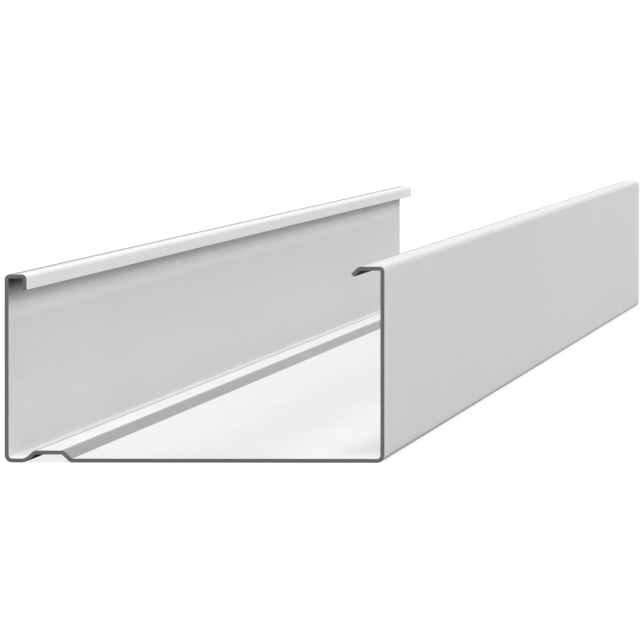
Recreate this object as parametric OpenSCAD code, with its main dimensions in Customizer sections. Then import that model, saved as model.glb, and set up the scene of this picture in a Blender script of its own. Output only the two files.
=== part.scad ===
// Drywall stud: one length of galvanised sheet steel, roll-formed into a channel.
// It lies on its web with both flanges up and its length along Y. The narrow flange ends in a
// hook that turns in and back down, the wide flange in a flat lip whose edge is canted down,
// and one stiffening bead runs along the web beside the narrow flange.

/* [Stud] */
// Length of the stud
stud_length = 2400; // [600:100:6000]
// Width of the web, over the outer faces of both flanges
web_width = 95; // [60:1:200]
// Height of the wide flange, from the web's underside to the top of its lip
wide_flange = 49; // [30:1:80]
// Height of the narrow flange, from the web's underside to the top of its hook
narrow_flange = 47; // [30:1:80]
// Thickness of the sheet
sheet = 1; // [0.5:0.1:1.5]

/* [Bends] */
// Inside radius of the bends between the web and the flanges
corner_radius = 0.9; // [0.5:0.1:2.5]
// Inside radius of the tight bends in the hook, in the lip and on the bead's side towards mid web
tight_radius = 0.25; // [0.1:0.05:0.6]

/* [Hook on the narrow flange] */
// Width of the hook, from the flange's outer face to the outer face of the return
hook_width = 5.5; // [4.5:0.1:12]
// Depth of the hook, from its top to the cut edge of the return
hook_depth = 3.9; // [2.5:0.1:10]

/* [Lip on the wide flange] */
// Width of the lip's flat, from the flange's outer face to the sharp corner of the cant
lip_width = 6.5; // [4.5:0.1:12]
// Length of the canted edge along its outer face
cant_length = 2.6; // [1.5:0.1:6]
// Angle by which the edge is canted down from the flat
cant_angle = 45; // [15:5:75]

/* [Bead in the web] */
// Distance from the narrow flange's outer face to the bead's centreline
bead_offset = 11; // [9:0.5:45]
// Width of the bead between the sharp corners of its feet, on the web's upper face
bead_width = 11.7; // [8:0.1:15]
// Height by which the bead rises
bead_height = 2; // [1.5:0.1:4]
// Angle at which the bead's sides slope
bead_slope = 43; // [30:1:50]
// Inside radius of the soft bend at the bead's foot beside the flange
foot_radius = 2.4; // [0.2:0.1:3]
// Inside radius of the bend between that side and the bead's crest
crest_radius = 0.7; // [0.2:0.1:1.5]

/* [Hidden] */
$fn = 96;

// Length by which each bend laps over the straight legs on both sides of it
lap = sheet / 10;

// The bead's measures along the underside of the sheet, between sharp corners
bead_side = bead_height / sin(bead_slope);
bead_base = bead_width - 2 * sheet * tan(bead_slope / 2);
bead_crest = bead_base - 2 * bead_height / tan(bead_slope);
bead_start = bead_offset - bead_base / 2;
bead_end = bead_offset + bead_base / 2;

// The section as one strip, walked from the hook's cut edge round to the lip's cut edge.
// Each leg is [length along the outer face between sharp corners, turn after it, inside radius].
legs = [
    [hook_depth, 90, tight_radius],
    [hook_width, 90, tight_radius],
    [narrow_flange, 90, corner_radius],
    [bead_start, bead_slope, foot_radius],
    [bead_side, -bead_slope, crest_radius],
    [bead_crest, -bead_slope, tight_radius],
    [bead_side, bead_slope, tight_radius],
    [web_width - bead_end, 90, corner_radius],
    [wide_flange, 90, tight_radius],
    [lip_width, cant_angle, tight_radius],
    [cant_length, 0, 0],
];

function length_of(leg) = leg[0];
function turn_of(leg) = leg[1];
function radius_of(leg) = leg[2];

// Height above the outer face of the line that a leg's bend turns about. The outer face goes
// round the outside of a left turn and round the inside of a right turn.
function pivot_of(leg) = turn_of(leg) > 0 ? sheet + radius_of(leg) : -radius_of(leg);

// Distance from a leg's sharp corner back to the start of its bend
function setback(leg) = pivot_of(leg) * tan(turn_of(leg) / 2);

// One left-hand bend about the origin, from straight below it round by the turn. It laps over the
// legs on both sides: past each tangent point it keeps to their inner face and lies inside them.
module bend(turn, radius) {
    reach = 2 * (radius + sheet);
    intersection() {
        difference() {
            circle(r = radius + sheet);
            circle(r = radius);
            translate([-reach, -radius]) square([reach, 2 * reach]);
            rotate(turn) translate([0, -radius]) square([reach, 2 * reach]);
        }
        translate([-lap, -reach]) square([lap + reach, 2 * reach]);
        rotate(turn) translate([-reach, -reach]) square([reach + lap, 2 * reach]);
    }
}

// The strip from leg i onwards. It heads along +X, with the outer face on y = 0 and the sheet
// above it, and starts where the bend before it ended.
module bent_strip(i = 0, bend_before = 0) {
    leg = legs[i];
    run = length_of(leg) - bend_before - setback(leg);
    square([run, sheet]);
    if (i < len(legs) - 1)
        translate([run, pivot_of(leg)]) {
            if (turn_of(leg) > 0) bend(turn_of(leg), radius_of(leg));
            else mirror([0, 1]) bend(-turn_of(leg), radius_of(leg));
            rotate(turn_of(leg)) translate([0, -pivot_of(leg)]) bent_strip(i + 1, setback(leg));
        }
}

// The whole section, with the narrow flange's outer face on x = 0 and the web's underside on y = 0
module section() {
    translate([hook_width, narrow_flange - hook_depth]) rotate(90) bent_strip();
}

module stud() {
    color("gainsboro")
        translate([-web_width / 2, stud_length / 2, 0]) rotate([90, 0, 0])
            linear_extrude(stud_length) section();
}

stud();
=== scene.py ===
"""A drywall stud: galvanised sheet steel, roll-formed into a channel that lies on its web."""

import math

import bmesh
import bpy
from mathutils import Matrix, Vector


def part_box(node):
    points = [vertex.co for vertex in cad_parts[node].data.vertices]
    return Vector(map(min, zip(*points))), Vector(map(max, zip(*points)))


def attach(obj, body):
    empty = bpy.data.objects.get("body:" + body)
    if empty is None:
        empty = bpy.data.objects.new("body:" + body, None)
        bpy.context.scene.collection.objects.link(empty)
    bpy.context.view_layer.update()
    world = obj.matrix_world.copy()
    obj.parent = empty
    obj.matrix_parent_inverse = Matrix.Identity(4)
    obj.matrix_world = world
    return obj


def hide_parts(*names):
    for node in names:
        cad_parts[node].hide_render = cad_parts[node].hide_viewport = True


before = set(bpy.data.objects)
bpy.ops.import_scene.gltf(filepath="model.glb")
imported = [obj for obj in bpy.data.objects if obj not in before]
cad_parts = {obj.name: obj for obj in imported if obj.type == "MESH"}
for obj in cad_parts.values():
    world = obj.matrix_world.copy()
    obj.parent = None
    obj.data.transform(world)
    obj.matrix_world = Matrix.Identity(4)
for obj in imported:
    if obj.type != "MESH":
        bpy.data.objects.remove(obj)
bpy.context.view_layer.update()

MM = 0.001

# The section, as the solid has it. Its overall sizes come from the stud's part in model.glb.
LOW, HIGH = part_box("stud")
WEB_WIDTH = HIGH.x - LOW.x
WIDE_FLANGE = HIGH.z - LOW.z
NARROW_FLANGE = 47 * MM
SHEET = 1 * MM
CORNER_RADIUS = 0.9 * MM
TIGHT_RADIUS = 0.25 * MM
HOOK_WIDTH = 5.5 * MM
HOOK_DEPTH = 3.9 * MM
LIP_WIDTH = 6.5 * MM
CANT_LENGTH = 2.6 * MM
CANT_ANGLE = math.radians(45)
BEAD_OFFSET = 11 * MM
BEAD_WIDTH = 11.7 * MM
BEAD_HEIGHT = 2 * MM
BEAD_SLOPE = math.radians(43)
FOOT_RADIUS = 2.4 * MM
CREST_RADIUS = 0.7 * MM

# How finely the mesh follows the section: about how far each step turns in a bend, and the length
# of the short step at each end of a leg
ARC_STEP = math.radians(11.25)
SUPPORT = 0.3 * MM

# The least angle between two faces at which the edge is broken, and by how much
SHARP_EDGE = math.radians(60)
EDGE_BREAK = 0.05 * MM

# The cut steel's material slot. The zinc has the first one, 0.
CUT_SLOT = 1

# Grey levels of the zinc inside the channel and outside it, of its tops, which are painted darker
# against the stronger light on them, of the painted light, of the bead's side with painted shade, and
# of the cut steel
INNER_ZINC = 0.807
OUTER_ZINC = 0.84
SHADED_TOP_ZINC = 0.69
PAINTED_LIGHT_ZINC = 0.95
BEAD_SIDE_SHADE_ZINC = 0.365
CUT_STEEL = 0.153

# The painted shade in the folds, where the zinc is also rougher: how far it reaches, how it falls
# off, and the share of the grey level that is left in the deepest place
FOLD_SHADE_REACH = 7 * MM
FOLD_SHADE_CURVE = 1.3
FOLD_SHADE_DARKEST = 0.05

# Painted shade lines along the outer bends that turn away from the light: how dark they are on the
# hook, the wide flange's foot and the lip, as shares of the line on the bead's crest, and the share
# of the grey level that is left there
HOOK_EDGE_SHADE = 0.75
FOOT_EDGE_SHADE = 0.52
LIP_EDGE_SHADE = 0.35
EDGE_SHADE_DARKEST = 0.15

# How strongly the painted light beside the wide flange's inner corner brightens, as a share of the
# narrow flange's
WIDE_CORNER_LIGHT_SHARE = 0.7

# Sizes of the patterns in the zinc and in the cut steel, and the depth of their relief
CRYSTAL = 3.2 * MM
ROLLING_LINE = 0.8 * MM
CLOUD = 40 * MM
SCRATCH = 0.5 * MM
GRAIN = 0.25 * MM
BLADE_MARK = 0.2 * MM
BLADE_BAND = 1.5 * MM
RELIEF = 0.02 * MM

# The camera stands 4.2 m from the near end, 0.1 m above the floor and a little to the right
EYE = Vector((221.5, -4176, 107.5)) * MM
AIM = Vector((31.4, 0, 35.67)) * MM
FOCAL_LENGTH = 942
SENSOR_WIDTH = 36

# The lamps are wide, so that their shadows are soft
LAMP_WIDTH = math.radians(20)


def near_end(offset):
    """A point given from the middle of the section's base at the near end."""
    return Vector((0, LOW.y, 0)) + offset


def quarter_left(v):
    """A vector of the section, turned by a right angle to the left."""
    return Vector((-v.y, v.x))


def turned(v, angle):
    """A vector of the section, turned to the left."""
    return Matrix.Rotation(angle, 2) @ v


# ---------------------------------------------------------------- the section

def section_legs():
    """The strip's legs from the hook's slit edge to the lip's: name, length between sharp
    corners along the outer face, turn after it, and the bend's inside radius."""
    side = BEAD_HEIGHT / math.sin(BEAD_SLOPE)
    base = BEAD_WIDTH - 2 * SHEET * math.tan(BEAD_SLOPE / 2)
    crest = base - 2 * BEAD_HEIGHT / math.tan(BEAD_SLOPE)
    start = BEAD_OFFSET - base / 2
    square = math.radians(90)
    return [
        ("hook_return", HOOK_DEPTH, square, TIGHT_RADIUS),
        ("hook_top", HOOK_WIDTH, square, TIGHT_RADIUS),
        ("narrow_flange", NARROW_FLANGE, square, CORNER_RADIUS),
        ("web_strip", start, BEAD_SLOPE, FOOT_RADIUS),
        ("bead_rise", side, -BEAD_SLOPE, CREST_RADIUS),
        ("bead_crest", crest, -BEAD_SLOPE, TIGHT_RADIUS),
        ("bead_fall", side, BEAD_SLOPE, TIGHT_RADIUS),
        ("web", WEB_WIDTH - start - base, square, CORNER_RADIUS),
        ("wide_flange", WIDE_FLANGE, square, TIGHT_RADIUS),
        ("lip", LIP_WIDTH, CANT_ANGLE, TIGHT_RADIUS),
        ("cant", CANT_LENGTH, 0, 0),
    ]


def walk_section():
    """The strip as a ladder: [(outer point, inner point, developed length)] from the hook's slit
    edge to the lip's, and the developed length at which each leg ends, in mid bend."""
    at = Vector((LOW.x + HOOK_WIDTH, NARROW_FLANGE - HOOK_DEPTH))
    heading = Vector((0, 1))
    rungs = []
    ends = {}
    bend_before = 0
    developed = 0

    def add_rung():
        rungs.append((at.copy(), at + quarter_left(heading) * SHEET, developed))

    add_rung()
    for name, length, turn, radius in section_legs():
        pivot_height = SHEET + radius if turn > 0 else -radius
        setback = pivot_height * math.tan(turn / 2)
        run = length - bend_before - setback
        for step in (SUPPORT, run - 2 * SUPPORT, SUPPORT):
            at += heading * step
            developed += step
            add_rung()
        arc = abs(turn) * (radius + SHEET / 2)
        ends[name] = developed + arc / 2
        steps = round(abs(turn) / ARC_STEP)
        pivot = at + quarter_left(heading) * pivot_height
        for _ in range(steps):
            at = pivot + turned(at - pivot, turn / steps)
            heading = turned(heading, turn / steps)
            developed += arc / steps
            add_rung()
        bend_before = setback
    return rungs, ends


def add_row(bm, rungs, y, strip, inner):
    """The section's points at one end of the stud, in pairs: the outer point and the inner one."""
    row = []
    for outer_point, inner_point, developed in rungs:
        pair = [bm.verts.new((p.x, y, p.y)) for p in (outer_point, inner_point)]
        for side, vert in enumerate(pair):
            vert[strip] = developed
            vert[inner] = side
        row.append(pair)
    return row


def add_faces(bm, near, far):
    """The long faces between the two rows, the cut ends, and the slit edges."""
    for i in range(len(near) - 1):
        for side in (0, 1):
            bm.faces.new([near[i][side], near[i + 1][side], far[i + 1][side], far[i][side]])
        for row in (near, far):
            face = bm.faces.new([row[i][0], row[i + 1][0], row[i + 1][1], row[i][1]])
            face.material_index = CUT_SLOT
    for i in (0, -1):
        face = bm.faces.new([near[i][0], near[i][1], far[i][1], far[i][0]])
        face.material_index = CUT_SLOT


def break_edges(bm):
    """A small round on each sharp edge, in the cut steel."""
    sharp = [edge for edge in bm.edges if edge.calc_face_angle(0) > SHARP_EDGE]
    bmesh.ops.bevel(bm, geom=sharp, offset=EDGE_BREAK, segments=2, profile=0.5,
                    affect="EDGES", clamp_overlap=False, material=CUT_SLOT)


def stud_mesh(rungs):
    """The bent sheet, its long faces, slit edges and cut ends all in one closed mesh. Each point
    knows its developed length, "strip", and whether it lies on the inner face, "inner"."""
    bm = bmesh.new()
    strip = bm.verts.layers.float.new("strip")
    inner = bm.verts.layers.float.new("inner")
    near = add_row(bm, rungs, LOW.y, strip, inner)
    far = add_row(bm, rungs, HIGH.y, strip, inner)
    add_faces(bm, near, far)
    bmesh.ops.recalc_face_normals(bm, faces=bm.faces)
    break_edges(bm)
    for face in bm.faces:
        is_cut_end = abs(face.normal.y) > 0.99
        face.smooth = not is_cut_end
    mesh = bpy.data.meshes.new("stud_sheet")
    bm.to_mesh(mesh)
    bm.free()
    return mesh


# ---------------------------------------------------------------- materials

class Graph:
    """A new material's nodes, with short ways to add them."""

    def __init__(self, name):
        self.material = bpy.data.materials.new(name)
        self.material.use_nodes = True
        self.nodes = self.material.node_tree.nodes
        self.shader = self.nodes["Principled BSDF"]

    def feed(self, socket, value):
        """Link another node's output to a socket, or set the socket to a plain value."""
        if isinstance(value, bpy.types.NodeSocket):
            self.material.node_tree.links.new(value, socket)
        else:
            socket.default_value = value

    def math(self, operation, a, b=0.0):
        node = self.nodes.new("ShaderNodeMath")
        node.operation = operation
        self.feed(node.inputs[0], a)
        self.feed(node.inputs[1], b)
        return node.outputs[0]

    def add(self, *values):
        total = values[0]
        for value in values[1:]:
            total = self.math("ADD", total, value)
        return total

    def times(self, *values):
        total = values[0]
        for value in values[1:]:
            total = self.math("MULTIPLY", total, value)
        return total

    def spread(self, value, middle, half):
        """A pattern's 0 to 1 turned into middle - half to middle + half."""
        return self.ramp(value, 0, 1, middle - half, middle + half)

    def ramp(self, value, start, end, low=0.0, high=1.0):
        """low up to start, high from end on, and a straight slope between."""
        node = self.nodes.new("ShaderNodeMapRange")
        self.feed(node.inputs["Value"], value)
        for name, number in zip(("From Min", "From Max", "To Min", "To Max"),
                                (start, end, low, high)):
            node.inputs[name].default_value = number
        return node.outputs[0]

    def blend(self, share, a, b):
        """a where the share is 0, b where it is 1, and a mix between."""
        node = self.nodes.new("ShaderNodeMix")
        self.feed(node.inputs["Factor"], share)
        self.feed(node.inputs["A"], a)
        self.feed(node.inputs["B"], b)
        return node.outputs["Result"]

    def attribute(self, name):
        node = self.nodes.new("ShaderNodeAttribute")
        node.attribute_name = name
        return node.outputs["Fac"]

    def place(self, along=1.0):
        """Where a point lies on the stud. With along below 1, patterns are drawn out lengthwise."""
        where = self.nodes.new("ShaderNodeTexCoord")
        node = self.nodes.new("ShaderNodeMapping")
        node.inputs["Scale"].default_value = (1, along, 1)
        self.feed(node.inputs["Vector"], where.outputs["Object"])
        return node.outputs[0]

    def noise(self, place, size, detail=2.0):
        node = self.nodes.new("ShaderNodeTexNoise")
        self.feed(node.inputs["Vector"], place)
        node.inputs["Scale"].default_value = 1 / size
        node.inputs["Detail"].default_value = detail
        return node.outputs["Fac"]

    def crystals(self, place, size):
        """Two numbers from 0 to 1 that differ from crystal to crystal of the coating."""
        node = self.nodes.new("ShaderNodeTexVoronoi")
        self.feed(node.inputs["Vector"], place)
        node.inputs["Scale"].default_value = 1 / size
        split = self.nodes.new("ShaderNodeSeparateColor")
        self.feed(split.inputs[0], node.outputs["Color"])
        return split.outputs[0], split.outputs[1]

    def bump(self, height, strength):
        node = self.nodes.new("ShaderNodeBump")
        node.inputs["Strength"].default_value = strength
        node.inputs["Distance"].default_value = RELIEF
        self.feed(node.inputs["Height"], height)
        self.feed(self.shader.inputs["Normal"], node.outputs[0])

    def finish(self, level, roughness, metallic, specular):
        self.feed(self.shader.inputs["Base Color"], level)
        self.feed(self.shader.inputs["Roughness"], roughness)
        self.shader.inputs["Metallic"].default_value = metallic
        self.shader.inputs["Specular IOR Level"].default_value = specular
        return self.material


class StripGraph(Graph):
    """A material's nodes that know their place on the strip and which face of it they are on."""

    def __init__(self, name):
        super().__init__(name)
        self.strip = self.attribute("strip")
        self.inner = self.attribute("inner")
        self.outer = self.math("SUBTRACT", 1.0, self.inner)

    def since(self, start, end):
        """0 up to start along the strip, and 1 from end on."""
        return self.ramp(self.strip, start, end)

    def until(self, start, end):
        """1 up to start along the strip, and 0 from end on."""
        return self.ramp(self.strip, start, end, 1, 0)

    def band(self, start, end, fade=0.3 * MM, far_fade=None):
        """1 from start to end along the strip, fading to 0 before it and after it."""
        rise = self.since(start - fade, start)
        fall = self.until(end, end + (far_fade or fade))
        return self.math("MINIMUM", rise, fall)

    def around(self, bend, before, after, fade=0.3 * MM):
        """A band on both sides of a bend's middle."""
        return self.band(bend - before, bend + after, fade)


def painted_fold_shade(g, ends):
    """Painted shade deep under the hook and under the lip, and outside in the hollow below the bead's
    soft side.
    """
    under_hook = g.until(ends["hook_top"], ends["hook_top"] + FOLD_SHADE_REACH)
    under_lip = g.since(ends["wide_flange"] - FOLD_SHADE_REACH, ends["wide_flange"])
    hollow = g.band(ends["web_strip"], ends["bead_rise"], fade=0.5 * MM)
    return g.add(g.times(g.inner, g.add(under_hook, under_lip)), g.times(g.outer, hollow))


def painted_bead_side_shade(g, ends):
    """Painted shade on the bead's inner face, on its side towards mid web."""
    return g.times(g.inner, g.band(ends["bead_crest"] - 0.1 * MM, ends["bead_fall"], fade=0.6 * MM))


def painted_edge_shade(g, ends):
    """Painted shade lines along the outermost bends, where they turn away from the light: outside on
    the hook, at the foot of the wide flange and on the lip, and inside on the edge of the bead's
    crest beside its soft side."""
    hook = g.around(ends["hook_top"], before=1.6 * MM, after=0.3 * MM)
    foot = g.around(ends["web"], before=0.6 * MM, after=0.4 * MM)
    lip = g.around(ends["lip"], before=0.8 * MM, after=0)
    crest = g.around(ends["bead_rise"], before=0.4 * MM, after=0.35 * MM, fade=0.15 * MM)
    outside = g.add(g.times(hook, HOOK_EDGE_SHADE), g.times(foot, FOOT_EDGE_SHADE), g.times(lip, LIP_EDGE_SHADE))
    return g.add(g.times(g.outer, outside), g.times(g.inner, crest))


def painted_light_zinc(g, ends):
    """Painted light: outside on the hook's return, and inside on the narrow flange under the hook,
    where it lifts the hook's shadow below the painted fold shade, and beside the web's two corners,
    where it lifts the shadows of the hook and the lip."""
    hook_return = g.until(ends["hook_return"] + 0.1 * MM, ends["hook_return"] + 0.8 * MM)
    below_fold = g.until(ends["hook_top"] + 8.6 * MM, ends["hook_top"] + 11.6 * MM)
    narrow_corner = g.band(ends["narrow_flange"], ends["bead_rise"], fade=0.5 * MM, far_fade=8.5 * MM)
    wide_corner = g.around(ends["web"], before=1 * MM, after=1 * MM, fade=8 * MM)
    inside = g.add(below_fold, narrow_corner, g.times(wide_corner, WIDE_CORNER_LIGHT_SHARE))
    return g.add(g.times(g.outer, hook_return), g.times(g.inner, inside))


def zinc_level(g, ends):
    """The grey level of the zinc: outside, darker on the tops of the hook and the lip as painted
    shade, inside, and brightened with painted light on the hook's return and beside the inner
    corners.
    """
    hook_top = g.until(ends["hook_top"], ends["hook_top"] + 1 * MM)
    lip_top = g.since(ends["wide_flange"] - 0.6 * MM, ends["wide_flange"] + 0.6 * MM)
    outside = g.blend(g.add(hook_top, lip_top), OUTER_ZINC, SHADED_TOP_ZINC)
    zinc = g.blend(g.inner, outside, INNER_ZINC)
    return g.blend(painted_light_zinc(g, ends), zinc, PAINTED_LIGHT_ZINC)


def galvanised(ends):
    """Zinc on rolled steel: small crystals, lines along the length, clouds and fine scratches. It
    has painted shade in the folds, where it is also rougher, on the bead's side and in lines along
    the outermost bends, and painted light on the hook's return and beside the inner corners."""
    g = StripGraph("galvanised")
    tilt, gloss = g.crystals(g.place(), CRYSTAL)
    lines = g.noise(g.place(along=0.004), ROLLING_LINE, detail=3)
    clouds = g.noise(g.place(along=0.25), CLOUD)
    scratches = g.ramp(g.noise(g.place(along=0.03), SCRATCH, detail=0), 0.72, 0.8)
    grain = g.noise(g.place(), GRAIN, detail=1)
    fold_shade_mask = painted_fold_shade(g, ends)
    bead_side_shade_mask = painted_bead_side_shade(g, ends)

    level = g.times(zinc_level(g, ends), g.spread(tilt, 1, 0.012), g.spread(lines, 1, 0.03),
                    g.spread(clouds, 1, 0.02), g.spread(scratches, 0.985, -0.015))
    # painted shade on the bead's side, in the folds and in lines along the outermost bends
    level = g.blend(bead_side_shade_mask, level, BEAD_SIDE_SHADE_ZINC)
    unshaded_by_folds = g.math("POWER", g.math("SUBTRACT", 1.0, fold_shade_mask), FOLD_SHADE_CURVE)
    level = g.times(level, g.ramp(painted_edge_shade(g, ends), 0, 1, 1, EDGE_SHADE_DARKEST),
                    g.ramp(unshaded_by_folds, 0, 1, FOLD_SHADE_DARKEST))
    roughness = g.add(g.spread(gloss, 0.6, 0.06), g.spread(lines, 0, 0.1),
                      g.times(fold_shade_mask, 0.3), g.times(bead_side_shade_mask, -0.05))
    relief = g.add(g.times(tilt, 0.5), lines, g.times(grain, 0.5), g.times(scratches, -0.7))
    g.bump(relief, strength=0.5)
    return g.finish(level, roughness, metallic=0.05, specular=0.1)


def cut_steel():
    """The sheet's core where it was slit and sheared: darker grey, with fine marks of the blade."""
    g = Graph("cut_steel")
    marks = g.noise(g.place(), BLADE_MARK, detail=3)
    bands = g.noise(g.place(along=0.05), BLADE_BAND)
    level = g.times(CUT_STEEL, g.spread(marks, 1, 0.12), g.spread(bands, 1, 0.1))
    g.bump(marks, strength=0.6)
    return g.finish(level, g.spread(bands, 0.5, 0.1), metallic=0.2, specular=0.2)


# ---------------------------------------------------------------- the studio

def camera_sees(nodes, links):
    """1 for rays straight from the camera or by way of a gloss or a glass, and 0 for the rest."""
    path = nodes.new("ShaderNodeLightPath")
    total = path.outputs["Is Camera Ray"]
    for name in ("Is Glossy Ray", "Is Transmission Ray"):
        add = nodes.new("ShaderNodeMath")
        add.operation = "MAXIMUM"
        links.new(total, add.inputs[0])
        links.new(path.outputs[name], add.inputs[1])
        total = add.outputs[0]
    return total


def make_world(light):
    """Even light from all round, and white where the camera sees past the floor."""
    world = bpy.data.worlds.new("studio")
    bpy.context.scene.world = world
    world.use_nodes = True
    nodes = world.node_tree.nodes
    links = world.node_tree.links
    nodes.clear()
    soft = nodes.new("ShaderNodeBackground")
    soft.inputs["Strength"].default_value = light
    white = nodes.new("ShaderNodeBackground")
    white.inputs["Strength"].default_value = 1
    for shader in (soft, white):
        shader.inputs["Color"].default_value = (1, 1, 1, 1)
    mix = nodes.new("ShaderNodeMixShader")
    out = nodes.new("ShaderNodeOutputWorld")
    links.new(camera_sees(nodes, links), mix.inputs["Fac"])
    links.new(soft.outputs[0], mix.inputs[1])
    links.new(white.outputs[0], mix.inputs[2])
    links.new(mix.outputs[0], out.inputs["Surface"])


def floor_material(albedo, shown, lift):
    """A pale matt floor. The camera sees it with the colour shown and a glow of lift, which come
    to white in the open and leave a faint shadow close to the stud."""
    material = bpy.data.materials.new("floor")
    material.use_nodes = True
    nodes = material.node_tree.nodes
    links = material.node_tree.links
    nodes.clear()
    seen = camera_sees(nodes, links)
    tone = nodes.new("ShaderNodeMapRange")
    tone.inputs["To Min"].default_value = albedo
    tone.inputs["To Max"].default_value = shown
    diffuse = nodes.new("ShaderNodeBsdfDiffuse")
    scale = nodes.new("ShaderNodeMath")
    scale.operation = "MULTIPLY"
    scale.inputs[1].default_value = lift
    glow = nodes.new("ShaderNodeEmission")
    add = nodes.new("ShaderNodeAddShader")
    out = nodes.new("ShaderNodeOutputMaterial")
    links.new(seen, tone.inputs["Value"])
    links.new(tone.outputs[0], diffuse.inputs["Color"])
    links.new(seen, scale.inputs[0])
    links.new(scale.outputs[0], glow.inputs["Strength"])
    links.new(diffuse.outputs[0], add.inputs[0])
    links.new(glow.outputs[0], add.inputs[1])
    links.new(add.outputs[0], out.inputs["Surface"])
    return material


def make_floor(size, material):
    bpy.ops.mesh.primitive_plane_add(size=size, location=(0, 0, 0))
    floor = bpy.context.object
    floor.name = "floor"
    floor.data.materials.append(material)


def add_sun(name, direction, strength):
    """A lamp far off, named for the side that it stands on, whose light travels in the direction."""
    lamp = bpy.data.lights.new(name, "SUN")
    lamp.energy = strength
    lamp.angle = LAMP_WIDTH
    sun = bpy.data.objects.new(name, lamp)
    bpy.context.scene.collection.objects.link(sun)
    sun.rotation_mode = "QUATERNION"
    sun.rotation_quaternion = Vector(direction).to_track_quat("-Z", "Y")


def add_camera():
    data = bpy.data.cameras.new("camera")
    data.sensor_width = SENSOR_WIDTH
    data.lens = FOCAL_LENGTH
    data.clip_start = 0.1
    data.clip_end = 500
    camera = bpy.data.objects.new("camera", data)
    bpy.context.scene.collection.objects.link(camera)
    camera.location = near_end(EYE)
    camera.rotation_mode = "QUATERNION"
    camera.rotation_quaternion = (near_end(AIM) - near_end(EYE)).to_track_quat("-Z", "Y")
    bpy.context.scene.camera = camera


# ---------------------------------------------------------------- the scene

add_camera()
rungs, ends = walk_section()
stud = bpy.data.objects.new("stud_sheet", stud_mesh(rungs))
bpy.context.scene.collection.objects.link(stud)
stud.data.materials.append(galvanised(ends))
stud.data.materials.append(cut_steel())
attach(stud, "root")
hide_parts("stud")

make_world(light=0.31)
make_floor(size=120, material=floor_material(albedo=0.6, shown=0.2, lift=0.84))
add_sun("right", (-0.64, 0, -0.77), 0.77)
add_sun("left", (0.77, 0, -0.64), 1.06)
add_sun("front", (0, 1, -1), 1.17)
add_sun("back", (0, -1, -1), 0.74)
bpy.context.scene.view_settings.view_transform = "Standard"
